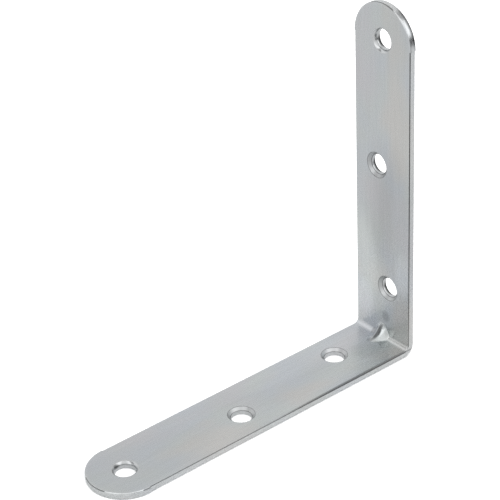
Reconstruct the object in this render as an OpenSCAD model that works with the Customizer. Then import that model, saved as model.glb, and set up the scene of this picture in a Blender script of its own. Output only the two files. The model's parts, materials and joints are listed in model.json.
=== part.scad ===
// Corner brace bracket, folded from one strip of zinc plated sheet steel.
// The heel of the bend is at the origin. The foot runs along +X with its underside on
// the plane z = 0, and the upright runs along +Z with its back on the plane x = 0.
// Both legs are one shape: a half turn about the diagonal between them swaps the two.

/* [Strip] */
// Height of the upright, from the underside of the foot to the tip of its round end
upright_h = 100; // [70:1:200]
// Length of the foot, from the back of the upright to the tip of its round end
foot_l = 100; // [70:1:200]
// Width of the strip
strip_w = 20; // [16:0.5:40]
// Thickness of the sheet
sheet_t = 2; // [1.5:0.1:3]
// Radius that tumbling leaves on all the outer edges
edge_r = 0.35; // [0.1:0.05:0.6]
// How far the punched round ends stand proud of the strip's straight edges
end_proud = 0.25; // [0:0.05:0.6]

/* [Bend] */
// Inside radius of the bend
bend_r = 1.5; // [1:0.1:4]

/* [Dart] */
// How far the pressed dart runs out on each inner face from the inside corner
dart_run = 4; // [3.5:0.1:6]
// Width of the dart where it crosses the fold
dart_w = 5; // [3:0.2:8]
// How far the middle of the dart's crest bows in towards the corner
dart_bow = 0.6; // [0:0.1:0.8]
// Height over which the flanks of the dart fade into the sheet
dart_fade = 0.5; // [0.2:0.1:1]

/* [Holes] */
// Diameter of the screw holes
hole_d = 5.5; // [4:0.1:6.5]
// Diameter of the countersinks at the inner faces
sink_d = 7.4; // [6.8:0.1:9]
// Included angle of the countersinks
sink_angle = 90; // [82:1:120]
// Radius rolled onto the rim of the last hole of each leg
rim_roll = 1.2; // [0.6:0.1:1.4]
// Distance of the first hole of each leg from the heel
first_hole = 18; // [16:0.5:30]
// Distance of the last hole of each leg from the tip of the round end
end_hole = 10; // [8:0.5:14]
// Offset of the first and the middle hole from the centre line, to opposite sides
stagger = 2; // [0:0.1:3]

/* [Hidden] */
$fn = 96;

// Segments of each rounded edge, of each rolled rim and across half of the dart
edge_steps = 4;
rim_steps = 5;
dart_steps = 12;
// Stations along the bend, and along each straight stretch beside it
bend_stations = 14;
run_stations = 8;

// Outside radius of the bend
heel_r = sheet_t + bend_r;
// Radius of the round ends
end_r = strip_w / 2 + end_proud;
// Length of the straight stretch that the dart reaches over, from the heel
knee_l = max(heel_r, sheet_t + dart_run + sqrt(2) * dart_fade) + 0.5;
// Slope at the feet of the dart's round section, as the fall of its crest for each mm across
flank = (dart_run - (2 - sqrt(2)) * bend_r - sqrt(2) * dart_bow) / (dart_w / 4);
// Half width over which the dart moves the sheet
dart_half = dart_w / 2 + sqrt(2) * dart_fade / flank;
// Depth of the conical countersinks
sink_depth = (sink_d - hole_d) / 2 / tan(sink_angle / 2);
// Angle at which a rolled rim meets the inner face, kept off the tangent
rim_end = 105;
// How far each cutter stands clear of the sheet
clear = 1;

// Rounded corner of the strip's outline about [y, t], as [across, depth] pairs
function corner(y, t, start) = [
    for (i = [0 : edge_steps])
        let (a = start + 90 * i / edge_steps)
        [y + edge_r * cos(a), t + edge_r * sin(a)]
];

// Outline of a section of the sheet, with extra points at the given places on both faces.
// Depth is 0 on the outer face and sheet_t on the inner face. The first half of the list
// runs along the outer face and the second half back along the inner one.
function outline(half_width, places = []) =
    let (flat = half_width - edge_r)
    concat(
        corner(-flat, edge_r, 180),
        [for (y = places) [y, 0]],
        corner(flat, edge_r, 270),
        corner(flat, sheet_t - edge_r, 0),
        [for (i = [len(places) - 1 : -1 : 0]) [places[i], sheet_t]],
        corner(-flat, sheet_t - edge_r, 90)
    );

// Fall of the round section at a distance y from the crest, straight past its feet
function crest_fall(y) =
    abs(y) < dart_w / 2 ? y * y / dart_w : abs(y) - dart_w / 4;

// Bow of the crest at a distance u along it from its middle, none at its ends
function crest_bow(u) =
    abs(u) < dart_run ? dart_bow * pow(1 - pow(u / dart_run, 2), 2) : 0;

// Lift by the press, which starts and ends smoothly over the fade height
function faded(v) =
    v <= -dart_fade ? 0 :
    v >= dart_fade ? v :
    pow(v + dart_fade, 2) / (4 * dart_fade);

// A point of the plain bend at a station, which is [length of straight run, angle turned]
function folded(station, y, t) =
    let (run = station[0], turn = station[1], r = heel_r - t)
    [heel_r - r * sin(turn) + (turn == 0 ? run : 0),
     y,
     heel_r - r * cos(turn) + (turn == 90 ? run : 0)];

// The same point after the dart is pressed in from outside, along the diagonal
function pressed(p, t) =
    let (line = 2 * sheet_t + dart_run - flank * crest_fall(p.y)
             - sqrt(2) * (sheet_t - t + crest_bow(p.x - p.z)),
         lift = faded((line - p.x - p.z) / sqrt(2)))
    p + lift / sqrt(2) * [1, 0, 1];

// Bend with its dart, from the end of the foot's straight stretch to the upright's
module knee() {
    places = [for (i = [-dart_steps : dart_steps]) dart_half * i / dart_steps];
    ring = outline(strip_w / 2, places);
    straight = knee_l - heel_r;
    stations = concat(
        [for (i = [run_stations : -1 : 1]) [straight * i / run_stations, 0]],
        [for (i = [0 : bend_stations]) [0, 90 * i / bend_stations]],
        [for (i = [1 : run_stations]) [straight * i / run_stations, 90]]
    );
    n = len(ring);
    last = len(stations) - 1;
    points = [for (s = stations, q = ring) pressed(folded(s, q[0], q[1]), q[1])];
    sides = [
        for (i = [0 : last - 1], j = [0 : n - 1])
            let (a = i * n + j, b = i * n + (j + 1) % n, c = b + n, d = a + n)
            each ring[j][0] + ring[(j + 1) % n][0] > 0
                ? [[a, b, d], [b, c, d]]
                : [[a, c, d], [a, b, c]]
    ];
    caps = [
        for (j = [0 : n / 2 - 2])
            let (a = j, b = j + 1, c = n - 2 - j, d = n - 1 - j, far = last * n)
            each [[d, c, b, a], [far + a, far + b, far + c, far + d]]
    ];
    polyhedron(points = points, faces = concat(sides, caps), convexity = 6);
}

// Cutter for a plain screw hole with a conical countersink
module sunk_hole() {
    r = hole_d / 2;
    rotate_extrude()
        polygon([
            [0, -clear],
            [r, -clear],
            [r, sheet_t - sink_depth],
            [sink_d / 2 + clear * tan(sink_angle / 2), sheet_t + clear],
            [0, sheet_t + clear]
        ]);
}

// Cutter for a screw hole whose rim is rolled in with a radius
module rolled_hole() {
    r = hole_d / 2;
    centre = [r + rim_roll, sheet_t - rim_roll * sin(rim_end)];
    arc = [
        for (i = [0 : rim_steps])
            let (a = 180 + (rim_end - 180) * i / rim_steps)
            centre + rim_roll * [cos(a), sin(a)]
    ];
    leave = arc[rim_steps] + clear * [1, tan(rim_end - 90)];
    rotate_extrude()
        polygon(concat(
            [[0, -clear], [r, -clear]],
            arc,
            [leave, [leave.x, sheet_t + clear], [0, sheet_t + clear]]
        ));
}

// One flat leg lying along +X, from the bend to its round end, with its three holes
module leg(length) {
    end_x = length - end_r;
    last_hole = length - end_hole;
    difference() {
        union() {
            translate([knee_l, 0, 0])
                rotate([90, 0, 90])
                    linear_extrude(height = end_x - knee_l)
                        polygon(outline(strip_w / 2));
            translate([end_x, 0, 0])
                rotate([0, 0, -90])
                    rotate_extrude(angle = 180)
                        intersection() {
                            polygon(outline(end_r));
                            square([end_r, sheet_t]);
                        }
        }
        translate([first_hole, -stagger, 0]) sunk_hole();
        translate([(first_hole + last_hole) / 2, stagger, 0]) sunk_hole();
        translate([last_hole, 0, 0]) rolled_hole();
    }
}

// The whole bracket, one folded piece of sheet
module bracket() {
    color([0.70, 0.72, 0.74])
        union() {
            leg(foot_l);
            rotate(180, [1, 0, 1]) leg(upright_h);
            knee();
        }
}

bracket();
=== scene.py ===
import json
import math

import bmesh
import bpy
from mathutils import Euler, Matrix, Vector


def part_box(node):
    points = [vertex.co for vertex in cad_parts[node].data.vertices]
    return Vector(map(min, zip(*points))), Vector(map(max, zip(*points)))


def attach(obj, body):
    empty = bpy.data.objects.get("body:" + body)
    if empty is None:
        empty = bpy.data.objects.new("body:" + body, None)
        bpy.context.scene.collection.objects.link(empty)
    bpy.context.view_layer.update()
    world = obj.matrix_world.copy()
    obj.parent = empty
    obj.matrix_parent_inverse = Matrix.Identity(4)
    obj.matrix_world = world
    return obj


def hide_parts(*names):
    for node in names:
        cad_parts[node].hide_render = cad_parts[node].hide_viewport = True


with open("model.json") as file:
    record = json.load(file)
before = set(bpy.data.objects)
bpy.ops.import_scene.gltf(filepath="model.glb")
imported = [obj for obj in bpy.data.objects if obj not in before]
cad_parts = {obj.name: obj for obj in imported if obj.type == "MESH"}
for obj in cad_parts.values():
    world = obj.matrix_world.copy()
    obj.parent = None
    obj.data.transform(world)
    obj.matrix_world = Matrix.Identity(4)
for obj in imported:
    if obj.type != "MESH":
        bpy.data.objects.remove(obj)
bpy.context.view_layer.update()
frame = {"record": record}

mm = 0.001
tiny = 0.01 * mm

strip = {  # the sheet that the bracket is folded from
    "thickness": 2 * mm,
    "edgeRadius": 0.35 * mm,  # left on the outer edges by tumbling
    "edgeSteps": 5,
    "bendRadius": 1.5 * mm,  # inside the bend
    "bendSteps": 36,
    "straightSteps": 26,  # rows between the bend and the plain legs, for the dart
    "endProud": 0.25 * mm,  # the punched round ends stand out this far
    "endSides": 128,
}

dart = {  # pressed into the inside corner, as in part.scad
    "run": 4 * mm,
    "width": 5 * mm,
    "bow": 0.6 * mm,  # how far the middle of the crest bows in towards the corner
    "fade": 0.5 * mm,
    "columns": 54,
}

edges = {  # of the strip and its round ends
    "wearWidth": 0.6 * mm,  # over which the faces brighten towards the edge
    "wallBand": 0.3 * mm,  # faces nearer to the outline than this belong to the walls
    "dullTip": 9.4 * mm,  # the tips of the round ends past this have a dull inner edge
    "dullStart": 2 * mm,  # the foot's round end starts with a dull inner edge this long
    "dullBend": 2.8 * mm,  # the inner edge is bright nearer to the heel than this
}

holes = {  # profiles of the screw holes
    "sinkRadius": 3.7 * mm,
    "sinkRim": 0.2 * mm,  # radius worn on the crisp rim of a countersink
    "sinkTurns": (135, 122, 109),  # degrees along that radius, from the cone to the face
    "sinkLeave": 19,  # degrees, at which the cutter leaves the face
    "innerRim": 0.12 * mm,  # width of the dull ring where the countersink meets the bore
    "rimRoll": 1.2 * mm,  # radius of the rolled rim of the last holes
    "rimEnd": 105,  # degrees, where the rolled rim meets the face
    "rimSteps": 12,
    "sides": 96,
    "clear": 0.6 * mm,
}


def clearSelection():
    if bpy.context.object and bpy.context.object.mode != "OBJECT":
        bpy.ops.object.mode_set(mode="OBJECT")
    bpy.ops.object.select_all(action="DESELECT")


def activate(piece):
    clearSelection()
    piece.select_set(True)
    bpy.context.view_layer.objects.active = piece


def newPiece(name):
    piece = bpy.context.object
    piece.name = name
    piece.data.name = name
    bpy.ops.object.transform_apply(location=True, rotation=True, scale=True)
    return piece


def edit(piece, mode):
    activate(piece)
    bpy.ops.object.mode_set(mode="EDIT")
    bpy.ops.mesh.select_mode(type=mode)
    bpy.ops.mesh.select_all(action="DESELECT")


def pickFaces(piece, test):
    mesh = bmesh.from_edit_mesh(piece.data)
    for face in mesh.faces:
        face.select_set(False)
    for face in mesh.faces:
        if test(face.calc_center_median(), face.normal):
            face.select_set(True)
    bmesh.update_edit_mesh(piece.data)


def pickEdges(piece, test):
    mesh = bmesh.from_edit_mesh(piece.data)
    for edge in mesh.edges:
        edge.select_set(False)
    for edge in mesh.edges:
        a, b = edge.verts
        if test((a.co + b.co) / 2, b.co - a.co):
            edge.select_set(True)
    bmesh.update_edit_mesh(piece.data)


def extrude(x, y, z):
    bpy.ops.mesh.extrude_region_move(TRANSFORM_OT_translate={"value": (x, y, z)})


def applyBoolean(piece, tool, operation):
    activate(piece)
    cut = piece.modifiers.new(operation.lower(), "BOOLEAN")
    cut.operation = operation
    cut.solver = "EXACT"
    cut.material_mode = "TRANSFER"
    cut.object = tool
    bpy.ops.object.modifier_apply(modifier=cut.name)
    bpy.data.objects.remove(tool)


view = {  # from the photo: pinhole camera fitted to the bracket's outline and holes
    "azimuth": 141.273,
    "elevation": 30.409,
    "roll": -2.524,
    "target": (57.593 * mm, 13.047 * mm, 57.352 * mm),
    "distance": 446.237 * mm,
    "lens": 134.945,
    "sensor": 36,
    "near": 0.01,
    "far": 20,
}


def addCamera():
    turn = Euler((math.radians(90 - view["elevation"]), 0, math.radians(view["azimuth"])))
    turn = turn.to_matrix() @ Matrix.Rotation(math.radians(view["roll"]), 3, "Z")
    place = Vector(view["target"]) + turn @ Vector((0, 0, view["distance"]))
    clearSelection()
    bpy.ops.object.camera_add(location=place, rotation=turn.to_euler())
    camera = bpy.context.object
    camera.name = "camera"
    camera.data.lens = view["lens"]
    camera.data.sensor_width = view["sensor"]
    camera.data.clip_start = view["near"]
    camera.data.clip_end = view["far"]
    bpy.context.scene.camera = camera


addCamera()
print("camera placed")


def addNode(tree, kind, place, **settings):
    node = tree.nodes.new(kind)
    node.location = place
    for name, value in settings.items():
        setattr(node, name, value)
    return node


def feed(tree, socket, value):  # the value is a number, a colour or another node's output
    if isinstance(value, bpy.types.NodeSocket):
        tree.links.new(value, socket)
    else:
        socket.default_value = value


def mathNode(tree, operation, place, *values, clamp=False):
    node = addNode(tree, "ShaderNodeMath", place, operation=operation, use_clamp=clamp)
    for socket, value in zip(node.inputs, values):
        feed(tree, socket, value)
    return node.outputs[0]


def newGroup(name, inputs, outputs):
    group = bpy.data.node_groups.new(name, "ShaderNodeTree")
    for title, kind, value in inputs:
        socket = group.interface.new_socket(name=title, in_out="INPUT", socket_type=kind)
        if value is not None:
            socket.default_value = value
    for title, kind in outputs:
        group.interface.new_socket(name=title, in_out="OUTPUT", socket_type=kind)
    start = addNode(group, "NodeGroupInput", (-900, 0))
    end = addNode(group, "NodeGroupOutput", (900, 0))
    return group, start.outputs, end.inputs


def noiseNode(tree, vector, place, scale, detail=2.0, roughness=0.5):
    noise = addNode(tree, "ShaderNodeTexNoise", place)
    noise.inputs["Scale"].default_value = scale
    noise.inputs["Detail"].default_value = detail
    noise.inputs["Roughness"].default_value = roughness
    tree.links.new(vector, noise.inputs["Vector"])
    return noise.outputs[0]


def mapRange(tree, value, place, fromLow, fromHigh, toLow=0.0, toHigh=1.0):
    node = addNode(tree, "ShaderNodeMapRange", place, interpolation_type="SMOOTHSTEP")
    tree.links.new(value, node.inputs["Value"])
    for title, number in (
        ("From Min", fromLow),
        ("From Max", fromHigh),
        ("To Min", toLow),
        ("To Max", toHigh),
    ):
        node.inputs[title].default_value = number
    return node.outputs["Result"]


def mixColour(tree, factor, first, second, place, blend="MIX"):
    node = addNode(tree, "ShaderNodeMix", place, data_type="RGBA", blend_type=blend)
    for index, value in ((0, factor), (6, first), (7, second)):  # the colour sockets of the node
        feed(tree, node.inputs[index], value)
    return node.outputs[2]


def combine(tree, x, y, z, place):
    node = addNode(tree, "ShaderNodeCombineXYZ", place)
    for socket, value in zip(node.inputs, (x, y, z)):
        feed(tree, socket, value)
    return node.outputs[0]


def separate(tree, vector, place):
    node = addNode(tree, "ShaderNodeSeparateXYZ", place)
    tree.links.new(vector, node.inputs[0])
    return node.outputs


def makeTintGroup():  # the faint blue, green, lilac and warm clouds of clear passivated zinc
    group, start, end = newGroup(
        "zincClouds",
        [("Vector", "NodeSocketVector", None), ("Strength", "NodeSocketFloat", 1.0)],
        [("Color", "NodeSocketColor")],
    )
    place = separate(group, start["Vector"], (-700, 0))
    along = mathNode(group, "SUBTRACT", (-520, 100), place["X"], place["Z"])
    stretched = mathNode(group, "MULTIPLY", (-350, 100), along, tint["stretch"])
    flow = combine(group, stretched, place["Y"], 0.0, (-180, 60))
    shifted = combine(group, stretched, place["Y"], 0.4, (-180, -140))
    cool = noiseNode(group, flow, (0, 200), tint["cloudScale"], 2.0)
    lilac = noiseNode(group, shifted, (0, -100), tint["cloudScale"] * 0.8, 2.0)
    coolMask = mapRange(group, cool, (180, 200), 0.35, 0.68)
    lilacMask = mapRange(group, lilac, (180, -100), 0.46, 0.74)
    warmMask = mapRange(group, lilac, (180, -300), 0.5, 0.3)
    colour = mixColour(group, coolMask, tint["green"], tint["blue"], (380, 200))
    colour = mixColour(group, lilacMask, colour, tint["lilac"], (520, 100))
    colour = mixColour(group, warmMask, colour, tint["warm"], (660, 0))
    colour = mixColour(group, start["Strength"], tint["plain"], colour, (780, 0))
    group.links.new(colour, end["Color"])
    return group


def spot(tree, place, centre, reach, row):  # 1 at the centre, fading to 0 at the reach, both in mm
    squares = 0.0
    for column, (axis, middle, radius) in enumerate(zip("XYZ", centre, reach)):
        away = mathNode(tree, "SUBTRACT", (-500 + 60 * column, row), place[axis], middle * mm)
        away = mathNode(tree, "DIVIDE", (-350 + 60 * column, row), away, radius * mm)
        away = mathNode(tree, "MULTIPLY", (-200 + 60 * column, row), away, away)
        squares = mathNode(tree, "ADD", (0 + 60 * column, row), away, squares)
    return mapRange(tree, squares, (250, row), 1.0, 0.1)


def makeLightAndShadeGroup():  # soft patches of painted light and shade, mostly standing for reflections, and where cut walls are torn
    group, start, end = newGroup(
        "paintedLightAndTorn",
        [("Vector", "NodeSocketVector", None)],
        [("Shade", "NodeSocketFloat"), ("TornShade", "NodeSocketFloat")],
    )
    place = separate(group, start["Vector"], (-700, 0))
    shade = 1.0
    for row, (centre, reach, change) in enumerate(lightAndShadePatches):
        mask = spot(group, place, centre, reach, -200 * row)
        change = mathNode(group, "MULTIPLY", (430, -200 * row), mask, change)
        change = mathNode(group, "ADD", (560, -200 * row), change, 1.0)
        shade = mathNode(group, "MULTIPLY", (700, -200 * row), change, shade)
    group.links.new(shade, end["Shade"])
    cover = 0.0
    for row, (centre, reach) in enumerate(torn, len(lightAndShadePatches)):
        mask = spot(group, place, centre, reach, -200 * row)
        cover = mathNode(group, "MAXIMUM", (430, -200 * row), mask, cover)
    group.links.new(cover, end["TornShade"])
    return group


def makeGrainGroup():  # fine rolling marks along each leg, following the bend
    group, start, end = newGroup(
        "rollingGrain",
        [("Vector", "NodeSocketVector", None)],
        [("Streaks", "NodeSocketFloat"), ("Grain", "NodeSocketFloat"), ("Waves", "NodeSocketFloat")],
    )
    place = separate(group, start["Vector"], (-700, 0))
    along = mathNode(group, "SUBTRACT", (-520, 100), place["X"], place["Z"])
    depth = mathNode(group, "MINIMUM", (-520, -200), place["X"], place["Z"])
    slow = mathNode(group, "MULTIPLY", (-350, 100), along, grain["streakStretch"])
    streakVector = combine(group, slow, place["Y"], depth, (-180, 100))
    streaks = noiseNode(group, streakVector, (0, 200), grain["streakScale"], 3.0, 0.6)
    half = mathNode(group, "MULTIPLY", (-350, -100), along, grain["grainStretch"])
    grainVector = combine(group, half, place["Y"], depth, (-180, -100))
    fine = noiseNode(group, grainVector, (0, 0), grain["grainScale"], 3.0, 0.65)
    waves = noiseNode(group, start["Vector"], (0, -250), grain["waveScale"], 1.0, 0.4)
    group.links.new(streaks, end["Streaks"])
    group.links.new(fine, end["Grain"])
    group.links.new(waves, end["Waves"])
    return group


def makeEdgeGroup():  # 1 at the cut edges of the strip and its round ends, fading inwards
    group, start, end = newGroup(
        "edgeWear",
        [("Vector", "NodeSocketVector", None)],
        [("Mask", "NodeSocketFloat")],
    )
    place = separate(group, start["Vector"], (-700, 0))
    pastFoot = mathNode(group, "SUBTRACT", (-520, 150), place["X"], footEnd)
    pastUpright = mathNode(group, "SUBTRACT", (-520, -50), place["Z"], uprightEnd)
    past = mathNode(group, "MAXIMUM", (-350, 100), pastFoot, pastUpright)
    past = mathNode(group, "MAXIMUM", (-200, 100), past, 0.0)
    square = mathNode(group, "MULTIPLY", (-50, 100), past, past)
    across = mathNode(group, "MULTIPLY", (-50, -100), place["Y"], place["Y"])
    reach = mathNode(group, "SQRT", (200, 0), mathNode(group, "ADD", (80, 0), square, across))
    inside = mathNode(group, "SUBTRACT", (320, 0), stripWidth / 2, reach)
    share = mathNode(group, "DIVIDE", (450, 0), inside, edges["wearWidth"])
    mask = mathNode(group, "SUBTRACT", (600, 0), 1.0, share, clamp=True)
    group.links.new(mask, end["Mask"])
    return group


tint = {
    "stretch": 0.6,  # clouds are longer along the legs
    "cloudScale": 75.0,  # features of about 13 mm
    "plain": (0.585, 0.595, 0.6, 1),
    "green": (0.57, 0.605, 0.598, 1),
    "blue": (0.55, 0.585, 0.625, 1),
    "lilac": (0.588, 0.588, 0.61, 1),
    "warm": (0.61, 0.602, 0.585, 1),
}

lightAndShadePatches = [  # painted light and shade, mostly standing for reflections: centre and reach in mm, change of brightness
    ((2, -8, 20), (6, 7, 22), 0.13),
    ((2, 5, 38), (6, 10, 28), -0.12),
    ((2, -1, 42), (6, 7, 24), -0.07),
    ((2, 6, 96), (6, 8, 18), -0.03),
    ((30, -7, 2), (26, 7, 4), 0.07),
    ((42, -2, 2), (30, 10, 4), -0.04),
    ((10.4, 2, 2), (5, 5, 2), -0.11),
    ((2, 8, 24.7), (1, 4, 8), 0.13),
    ((2, -7, 12), (1, 4, 7), 0.06),
    ((2, 1.3, 8.8), (1, 1.8, 2.2), -0.25),
    ((92, 1, 2), (34, 14, 4), -0.07),
    ((3.6, -0.2, 3.6), (3.3, 0.95, 3.3), -0.75),  # painted shade on the dart's crest, standing for a dark reflection
    ((90.8, -2.9, 1.3), (1.3, 0.9, 0.65), -0.7),  # painted shade in the foot's last hole, standing for a dark reflection
    ((2.4, 0.6, 5.3), (0.7, 0.9, 1), -0.35),  # three painted shades beside the dart, standing for reflections
    ((2.5, -3.1, 2.5), (1.2, 0.9, 1.2), -0.35),
    ((5.9, -0.9, 2.05), (1.2, 1.1, 0.5), -0.3),
    ((1, 5.8, 98.3), (1.2, 2.2, 1.5), -0.4),  # painted shade on the wall of the upright's round end
    ((20, 9.95, 1.9), (30, 0.75, 0.5), -0.55),  # dark line along the foot's edge
]

torn = [  # centre and reach in mm: where the punch tore the cut walls and bores, darkened further as painted shade standing for dark reflections
    ((-0.1, 7.8, 95.5), (1.3, 8, 8)),
    ((0, -2, 88.6), (1.2, 2.2, 2.2)),
    ((0, -4, 52.3), (0.9, 3, 3)),
    ((0, 0, 16.3), (0.9, 3, 3)),
]

grain = {
    "streakStretch": 0.045,
    "streakScale": 1500.0,
    "grainStretch": 0.35,
    "grainScale": 2600.0,
    "waveScale": 60.0,
}


def metalMaterial(name, look):
    material = bpy.data.materials.new(name)
    material.use_nodes = True
    tree = material.node_tree
    shader = tree.nodes["Principled BSDF"]
    shader.location = (900, 0)
    tree.nodes["Material Output"].location = (1200, 0)
    shader.inputs["Metallic"].default_value = 1
    where = addNode(tree, "ShaderNodeTexCoord", (-900, 0)).outputs["Object"]
    groups = {}
    for row, group in enumerate((tintGroup, grainGroup, edgeGroup, lightAndShadeGroup)):
        node = addNode(tree, "ShaderNodeGroup", (-650, 250 - 250 * row), node_tree=group)
        tree.links.new(where, node.inputs["Vector"])
        groups[group.name] = node
    groups["zincClouds"].inputs["Strength"].default_value = look["clouds"]
    marks, paintedSpots = groups["rollingGrain"].outputs, groups["paintedLightAndTorn"].outputs
    edge = groups["edgeWear"].outputs["Mask"]
    colour = groups["zincClouds"].outputs["Color"]
    change = look["streakShade"]
    shade = mapRange(tree, marks["Streaks"], (-380, 100), 0.3, 0.7, 1 - change, 1 + change)
    change = look["grainShade"]
    speck = mapRange(tree, marks["Grain"], (-380, -100), 0.3, 0.7, 1 - change, 1 + change)
    shade = mathNode(tree, "MULTIPLY", (-180, 0), shade, speck)
    shade = mathNode(tree, "MULTIPLY", (-100, 100), shade, look["shade"])
    # painted light and shade from the patches
    shade = mathNode(tree, "MULTIPLY", (-60, 50), shade, paintedSpots["Shade"])
    # painted shade where the walls and bores are torn
    whole = mathNode(tree, "MULTIPLY", (-160, 300), paintedSpots["TornShade"], -look["torn"])
    whole = mathNode(tree, "ADD", (-60, 300), whole, 1.0)
    shade = mathNode(tree, "MULTIPLY", (0, 100), shade, whole)
    toned = combine(tree, shade, shade, shade, (-20, 0))
    colour = mixColour(tree, 1.0, colour, toned, (140, 150), "MULTIPLY")
    worn = mathNode(tree, "MULTIPLY", (0, -250), edge, look["wear"])
    colour = mixColour(tree, worn, colour, look["wornColour"], (320, 150))
    tree.links.new(colour, shader.inputs["Base Color"])
    low, high = look["roughness"] - 0.05, look["roughness"] + 0.05
    rough = mapRange(tree, marks["Grain"], (-180, -200), 0.25, 0.75, low, high)
    polish = mathNode(tree, "MULTIPLY", (0, -350), edge, -look["polish"])
    rough = mathNode(tree, "ADD", (150, -300), rough, polish)
    tree.links.new(rough, shader.inputs["Roughness"])
    heights = mathNode(tree, "MULTIPLY", (-180, -400), marks["Streaks"], look["streakHeight"])
    fine = mathNode(tree, "MULTIPLY", (-180, -550), marks["Grain"], look["grainHeight"])
    wavy = mathNode(tree, "MULTIPLY", (-180, -700), marks["Waves"], look["waveHeight"])
    heights = mathNode(tree, "ADD", (0, -450), heights, fine)
    heights = mathNode(tree, "ADD", (150, -450), heights, wavy)
    bump = addNode(tree, "ShaderNodeBump", (600, -300))
    bump.inputs["Strength"].default_value = 1
    bump.inputs["Distance"].default_value = 1
    tree.links.new(heights, bump.inputs["Height"])
    tree.links.new(bump.outputs["Normal"], shader.inputs["Normal"])
    return material


boxLow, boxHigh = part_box("bracket")
stripWidth = boxHigh.y - boxLow.y - 2 * strip["endProud"]
heelRadius = strip["thickness"] + strip["bendRadius"]
kneeEnd = strip["thickness"] + dart["run"] + math.sqrt(2) * dart["fade"] + 0.5 * mm
endRadius = stripWidth / 2 + strip["endProud"]
footEnd = boxHigh.x - endRadius  # where the straight part of each leg stops
uprightEnd = boxHigh.z - endRadius
crestRise = dart["run"] - (2 - math.sqrt(2)) * strip["bendRadius"] - math.sqrt(2) * dart["bow"]
flank = crestRise / (dart["width"] / 4)
dartHalf = dart["width"] / 2 + math.sqrt(2) * dart["fade"] / flank
halfTurn = Matrix.Rotation(math.pi, 4, Vector((1, 0, 1)))  # swaps the two legs


tintGroup, grainGroup = makeTintGroup(), makeGrainGroup()
edgeGroup, lightAndShadeGroup = makeEdgeGroup(), makeLightAndShadeGroup()
faceLook = {
    "shade": 1.0,
    "torn": 0.0,  # how dark the torn places are, with their painted shade
    "clouds": 0.8,
    "streakShade": 0.025,
    "grainShade": 0.01,
    "wear": 0.25,
    "wornColour": (0.66, 0.665, 0.67, 1),
    "roughness": 0.27,
    "polish": 0.12,
    "streakHeight": 0.0009 * mm,
    "grainHeight": 0.0006 * mm,
    "waveHeight": 0.02 * mm,
}
wallLook = dict(faceLook, clouds=0.4, streakShade=0.05, grainShade=0.08, roughness=0.34, wear=0.0)
wallLook.update(shade=1.16, torn=0.8, polish=0.06, grainHeight=0.003 * mm)
edgeLook = dict(faceLook, shade=0.42, wear=0.0, polish=0.0, roughness=0.35)
burnishedLook = dict(faceLook, clouds=0.3, roughness=0.24, wear=0.0, polish=0.0, waveHeight=0.0)
coneLook = dict(burnishedLook, roughness=0.42, shade=0.92)
rimLook = dict(burnishedLook, roughness=0.4, shade=0.35)
# painted light: the bore walls are made lighter than the faces to make up for the shade inside the
# bores
boreLook = dict(burnishedLook, roughness=0.45, shade=1.2, torn=0.9)
zincFace = metalMaterial("zincFace", faceLook)
shearedWall = metalMaterial("shearedWall", wallLook)
dullEdge = metalMaterial("dullEdge", edgeLook)
burnishedZinc = metalMaterial("burnishedZinc", burnishedLook)
turnedCone = metalMaterial("turnedCone", coneLook)
dullRim = metalMaterial("dullRim", rimLook)
boreWall = metalMaterial("boreWall", boreLook)
print("materials made")


def sheetDepth(point):  # 0 on the outer face of the sheet, its thickness on the inner face
    x, z = heelRadius - point.x, heelRadius - point.z
    if x > 0 and z > 0:
        return heelRadius - math.hypot(x, z)
    return point.z if z > 0 else point.x


def pressedLift(point):  # how far the press lifts this point, along the diagonal
    if not inKnee(point):
        return 0
    side = abs(point.y)
    if side < dart["width"] / 2:
        fall = side * side / dart["width"]
    else:
        fall = side - dart["width"] / 4
    along = min(abs(point.x - point.z) / dart["run"], 1)
    bow = dart["bow"] * (1 - along * along) ** 2
    depth = strip["thickness"] - sheetDepth(point)
    line = 2 * strip["thickness"] + dart["run"] - math.sqrt(2) * (depth + bow) - flank * fall
    rise = (line - point.x - point.z) / math.sqrt(2)
    if rise <= -dart["fade"]:
        return 0
    if rise >= dart["fade"]:
        return rise
    return (rise + dart["fade"]) ** 2 / (4 * dart["fade"])


def foldStrip():
    clearSelection()
    start = (footEnd, 0, strip["thickness"] / 2)
    bpy.ops.mesh.primitive_plane_add(size=1, location=start, rotation=(0, math.pi / 2, 0))
    bpy.ops.transform.resize(value=(1, stripWidth, strip["thickness"]), center_override=start)
    piece = newPiece("zincBracket")
    edit(piece, "VERT")
    bpy.ops.mesh.select_all(action="SELECT")
    bpy.ops.mesh.bevel(
        offset=strip["edgeRadius"],
        segments=strip["edgeSteps"],
        affect="VERTICES",
        clamp_overlap=False,
    )
    bpy.ops.mesh.select_mode(type="FACE")
    bpy.ops.mesh.select_all(action="SELECT")
    extrude(kneeEnd - footEnd, 0, 0)
    step = (kneeEnd - heelRadius) / strip["straightSteps"]
    for row in range(strip["straightSteps"]):
        extrude(-step, 0, 0)
    bpy.ops.mesh.spin(
        steps=strip["bendSteps"],
        angle=math.radians(-90),
        center=(heelRadius, 0, heelRadius),
        axis=(0, 1, 0),
    )
    for row in range(strip["straightSteps"]):
        extrude(0, 0, step)
    extrude(0, 0, uprightEnd - kneeEnd)
    bpy.ops.mesh.select_all(action="SELECT")
    bpy.ops.mesh.normals_make_consistent(inside=False)
    bpy.ops.object.mode_set(mode="OBJECT")
    return piece


def inKnee(point):
    return max(point.x, point.z) < kneeEnd + tiny


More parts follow.
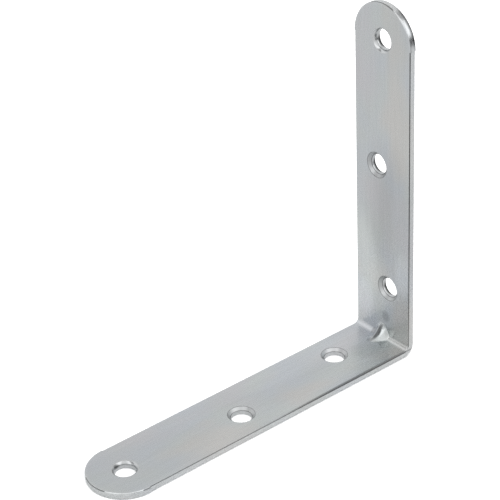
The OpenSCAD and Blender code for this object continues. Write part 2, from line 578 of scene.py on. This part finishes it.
def pressDart(piece):
    edit(piece, "FACE")
    for side in (-dartHalf, dartHalf):
        pickFaces(piece, lambda centre, normal: inKnee(centre) and abs(normal.y) < 0.1)
        bpy.ops.mesh.bisect(plane_co=(0, side, 0), plane_no=(0, 1, 0), threshold=0.001 * mm)
    bpy.ops.mesh.select_mode(type="EDGE")
    pickEdges(
        piece,
        lambda middle, along: inKnee(middle) and abs(middle.y) < tiny and abs(along.y) > dartHalf,
    )
    bpy.ops.mesh.subdivide(number_cuts=dart["columns"] - 1)
    bpy.ops.object.mode_set(mode="OBJECT")
    lifts = [pressedLift(vertex.co) for vertex in piece.data.vertices]
    deepest = max(lifts)
    pressing = piece.vertex_groups.new(name="pressing")
    for index, lift in enumerate(lifts):
        if lift > 0:
            pressing.add([index], lift / deepest, "REPLACE")
    for direction in ("X", "Z"):
        push = piece.modifiers.new("push" + direction, "DISPLACE")
        push.direction = direction
        push.mid_level = 0
        push.strength = deepest / math.sqrt(2)
        push.vertex_group = pressing.name
    activate(piece)
    for name in ("pushX", "pushZ"):
        bpy.ops.object.modifier_apply(modifier=name)


def addRoundEnds(piece):
    clearSelection()
    bpy.ops.mesh.primitive_cylinder_add(
        vertices=strip["endSides"],
        radius=endRadius,
        depth=strip["thickness"],
        location=(footEnd, 0, strip["thickness"] / 2),
    )
    footCap = newPiece("footCap")
    footCap.data.materials.append(zincFace)
    edit(footCap, "EDGE")
    pickEdges(footCap, lambda middle, along: abs(along.z) < tiny)
    bpy.ops.mesh.bevel(
        offset=strip["edgeRadius"], segments=strip["edgeSteps"], affect="EDGES", clamp_overlap=False
    )
    bpy.ops.mesh.select_all(action="SELECT")
    bpy.ops.mesh.bisect(
        plane_co=(footEnd, 0, 0),
        plane_no=(1, 0, 0),
        use_fill=True,
        clear_inner=True,
        threshold=0.001 * mm,
    )
    bpy.ops.object.mode_set(mode="OBJECT")
    bpy.ops.object.duplicate()
    uprightCap = bpy.context.object
    uprightCap.matrix_world = Matrix.Translation((0, 0, uprightEnd - footEnd)) @ halfTurn
    bpy.ops.object.transform_apply(location=True, rotation=True, scale=True)
    applyBoolean(piece, footCap, "UNION")
    applyBoolean(piece, uprightCap, "UNION")


def holeCutter(name, stations):  # turned from (radius, height, material of what follows)
    radius, height = stations[0][:2]
    clearSelection()
    bpy.ops.mesh.primitive_circle_add(
        vertices=holes["sides"], radius=radius, fill_type="NGON", location=(0, 0, height)
    )
    cutter = newPiece(name)
    edit(cutter, "FACE")
    bpy.ops.mesh.select_all(action="SELECT")
    for nextRadius, nextHeight, _ in stations[1:]:
        extrude(0, 0, nextHeight - height)
        grow = nextRadius / radius
        bpy.ops.transform.resize(value=(grow, grow, 1), center_override=(0, 0, nextHeight))
        radius, height = nextRadius, nextHeight
    bpy.ops.mesh.select_all(action="SELECT")
    bpy.ops.mesh.normals_make_consistent(inside=False)
    bpy.ops.object.mode_set(mode="OBJECT")
    for finish in (burnishedZinc, turnedCone, dullRim, boreWall):
        cutter.data.materials.append(finish)
    for face in cutter.data.polygons:
        for low, high in zip(stations, stations[1:]):
            if low[1] < face.center.z < high[1]:
                face.material_index = cutter.data.materials.find(low[2].name)
    return cutter


def sunkStations(bore):
    top, sink = strip["thickness"], holes["sinkRadius"]
    rim, ring = holes["sinkRim"], holes["innerRim"]
    centre = (sink, top - rim)
    sink -= rim * math.tan(math.radians(45 / 2))  # where the 45 degree cone would meet the face
    stations = [
        (bore, -holes["clear"], boreWall),
        (bore, top - (sink - bore), dullRim),
        (bore + ring, top - (sink - bore) + ring, turnedCone),
    ]
    for angle in holes["sinkTurns"]:
        turn = math.radians(angle)
        stations.append((centre[0] + rim * math.cos(turn), centre[1] + rim * math.sin(turn), dullRim))
    last, rise = stations[-1], holes["clear"]
    leave = rise / math.tan(math.radians(holes["sinkLeave"]))
    stations.append((last[0] + leave, last[1] + rise, dullRim))
    return stations


def rolledStations(bore):
    roll, end = holes["rimRoll"], holes["rimEnd"]
    height = strip["thickness"] - roll * math.sin(math.radians(end))
    stations = [(bore, -holes["clear"], boreWall)]
    for step in range(holes["rimSteps"] + 1):
        turn = math.radians(180 + (end - 180) * step / holes["rimSteps"])
        out = bore + roll + roll * math.cos(turn)
        stations.append((out, height + roll * math.sin(turn), burnishedZinc))
    last, rise = stations[-1], holes["clear"]
    leave = rise * math.tan(math.radians(end - 90))
    stations.append((last[0] + rise, last[1] + leave, burnishedZinc))
    return stations


def cutHoles(piece):
    for mount in frame["record"]["mounts"]:
        if mount["kind"] != "bore":
            continue
        bore = mount["dims"]["r_mm"] * mm
        place = Vector(mount["pos_m"])
        onFoot = mount["axis"][2] == 1
        isLast = mount["name"].endswith("_end")
        stations = rolledStations(bore) if isLast else sunkStations(bore)
        cutter = holeCutter(mount["name"] + "_cutter", stations)
        if onFoot:
            cutter.matrix_world = Matrix.Translation((place.x, place.y, 0))
        else:
            cutter.matrix_world = Matrix.Translation((0, place.y, place.z)) @ halfTurn
        activate(cutter)
        bpy.ops.object.transform_apply(location=True, rotation=True, scale=True)
        applyBoolean(piece, cutter, "DIFFERENCE")


def paintEdges(piece):  # the walls of the strip, and its inner edges where they are dull
    slots = piece.data.materials
    slots.append(shearedWall)
    slots.append(dullEdge)
    faceSlot, wallSlot, edgeSlot = (slots.find(n) for n in ("zincFace", "shearedWall", "dullEdge"))
    edit(piece, "FACE")
    mesh = bmesh.from_edit_mesh(piece.data)
    for face in mesh.faces:
        centre = face.calc_center_median()
        past = max(centre.x - footEnd, centre.z - uprightEnd, 0)
        onWall = math.hypot(past, centre.y) > stripWidth / 2 - edges["wallBand"]
        if face.material_index != faceSlot or not onWall:
            continue
        onFoot = centre.x > centre.z
        level = face.normal.z if onFoot else face.normal.x  # 1 on the inner face, -1 on the outer
        straight = past == 0 and max(centre.x, centre.z) > edges["dullBend"]
        dull = straight or past > edges["dullTip"] or (onFoot and 0 < past < edges["dullStart"])
        rounded = past > 0 and (-0.95 < level < 0 or (onFoot and 0 < level < 0.95))
        if dull and 0.1 < level < 0.8:
            face.material_index = edgeSlot
        elif rounded or abs(level) < 0.5:
            face.material_index = wallSlot
    bmesh.update_edit_mesh(piece.data)
    bpy.ops.object.mode_set(mode="OBJECT")


def finishMesh(piece):
    edit(piece, "VERT")
    bpy.ops.mesh.select_all(action="SELECT")
    bpy.ops.mesh.remove_doubles(threshold=0.0005 * mm)
    bpy.ops.object.mode_set(mode="OBJECT")
    bpy.ops.object.shade_smooth_by_angle(angle=math.radians(32))
    weighted = piece.modifiers.new("weighted", "WEIGHTED_NORMAL")
    weighted.keep_sharp = True
    bpy.ops.object.modifier_apply(modifier=weighted.name)


bracket = foldStrip()
bracket.data.materials.append(zincFace)
print("strip folded:", len(bracket.data.polygons), "faces")
pressDart(bracket)
print("dart pressed:", len(bracket.data.polygons), "faces")
addRoundEnds(bracket)
print("round ends added:", len(bracket.data.polygons), "faces")
cutHoles(bracket)
paintEdges(bracket)
print("holes cut:", len(bracket.data.polygons), "faces")
finishMesh(bracket)
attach(bracket, "root")
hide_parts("bracket")


studio = {
    "bright": 0.84,  # light from most of the room
    "zones": {  # heading, half width, lowest, highest, softness (all in degrees), then the level
        "sideLight": (-56, 22, 12, 62, 12, 1.08),
        "frontGap": (53, 26, 18, 80, 12, 1.08),
        "leftGap": (-25, 13, 22, 62, 8, 0.35),
        "leftSoftbox": (9, 17, 6, 75, 8, 1.6),
        "rightSoftbox": (115, 31, 12, 75, 8, 1.6),
        "horizon": (136, 74, -9, 10, 6, 0.03),
        "lowFront": (88, 30, -52, -18, 10, 0.03),
    },
    "sheet": ((-30 * mm, 140 * mm), (-32 * mm, 26 * mm)),  # paper right under the bracket
    "paper": 0.85,
    "paperSeen": 1.45,  # as the camera sees it, so that the backdrop is white
}


def grey(level):
    return (level, level, level, 1)


def addPlane(name, size, place):
    clearSelection()
    bpy.ops.mesh.primitive_plane_add(size=1, location=place)
    bpy.ops.transform.resize(value=(size[0], size[1], 1), center_override=place)
    plane = newPiece(name)
    return plane


def addFloor():
    floor = addPlane("floor", (6, 6), (0, 0, -0.05 * mm))
    floor.visible_glossy = False
    paper = bpy.data.materials.new("paper")
    paper.use_nodes = True
    tree = paper.node_tree
    shader = tree.nodes["Principled BSDF"]
    shader.inputs["Roughness"].default_value = 1
    shader.inputs["Specular IOR Level"].default_value = 0
    path = addNode(tree, "ShaderNodeLightPath", (-700, 0))
    plain, bright = grey(studio["paper"]), grey(studio["paperSeen"])
    seen = mixColour(tree, path.outputs["Is Camera Ray"], plain, bright, (-300, 0))
    tree.links.new(seen, shader.inputs["Base Color"])
    floor.data.materials.append(paper)
    (left, right), (back, front) = studio["sheet"]
    middle = ((left + right) / 2, (back + front) / 2, -0.03 * mm)
    sheet = addPlane("sheet", (right - left, front - back), middle)  # seen in the metal only
    sheet.visible_camera = sheet.visible_diffuse = sheet.visible_shadow = False
    sheet.data.materials.append(paper)


def addZone(tree, light, x, y, elevation, zone, row):  # sets the light's level in one direction
    heading, half, lowest, highest, soft, level = zone
    turn = math.radians(heading)
    first = mathNode(tree, "MULTIPLY", (-880, row), x, math.cos(turn))
    second = mathNode(tree, "MULTIPLY", (-880, row - 50), y, math.sin(turn))
    ahead = mathNode(tree, "ADD", (-700, row), first, second)
    first = mathNode(tree, "MULTIPLY", (-880, row - 100), y, math.cos(turn))
    second = mathNode(tree, "MULTIPLY", (-880, row - 150), x, math.sin(turn))
    aside = mathNode(tree, "SUBTRACT", (-700, row - 50), first, second)
    angle = mathNode(tree, "ARCTAN2", (-540, row), aside, ahead)
    angle = mathNode(tree, "ABSOLUTE", (-380, row), angle)
    half, lowest, highest, soft = map(math.radians, (half, lowest, highest, soft / 2))
    wide = mapRange(tree, angle, (-220, row), half + soft, half - soft)
    above = mapRange(tree, elevation, (-220, row - 60), lowest - soft, lowest + soft)
    under = mapRange(tree, elevation, (-220, row - 120), highest + soft, highest - soft)
    mask = mathNode(tree, "MULTIPLY", (-60, row - 60), above, under)
    mask = mathNode(tree, "MULTIPLY", (60, row), mask, wide)
    return mixColour(tree, mask, light, grey(level), (220, row))


def addRoom():
    world = bpy.data.worlds.new("studio")
    bpy.context.scene.world = world
    world.use_nodes = True
    tree = world.node_tree
    background = tree.nodes["Background"]
    background.location = (700, 0)
    direction = addNode(tree, "ShaderNodeTexCoord", (-1300, 0)).outputs["Generated"]
    x, y, z = separate(tree, direction, (-1100, 0))
    elevation = mathNode(tree, "ARCSINE", (-900, 250), z)
    light = grey(studio["bright"])
    for row, zone in enumerate(studio["zones"].values()):
        light = addZone(tree, light, x, y, elevation, zone, -220 * row)
    path = addNode(tree, "ShaderNodeLightPath", (300, 300))
    light = mixColour(tree, path.outputs["Is Camera Ray"], light, grey(1), (500, 0))
    tree.links.new(light, background.inputs["Color"])


addFloor()
addRoom()
print("studio set")
bpy.context.scene.view_settings.view_transform = "Standard"
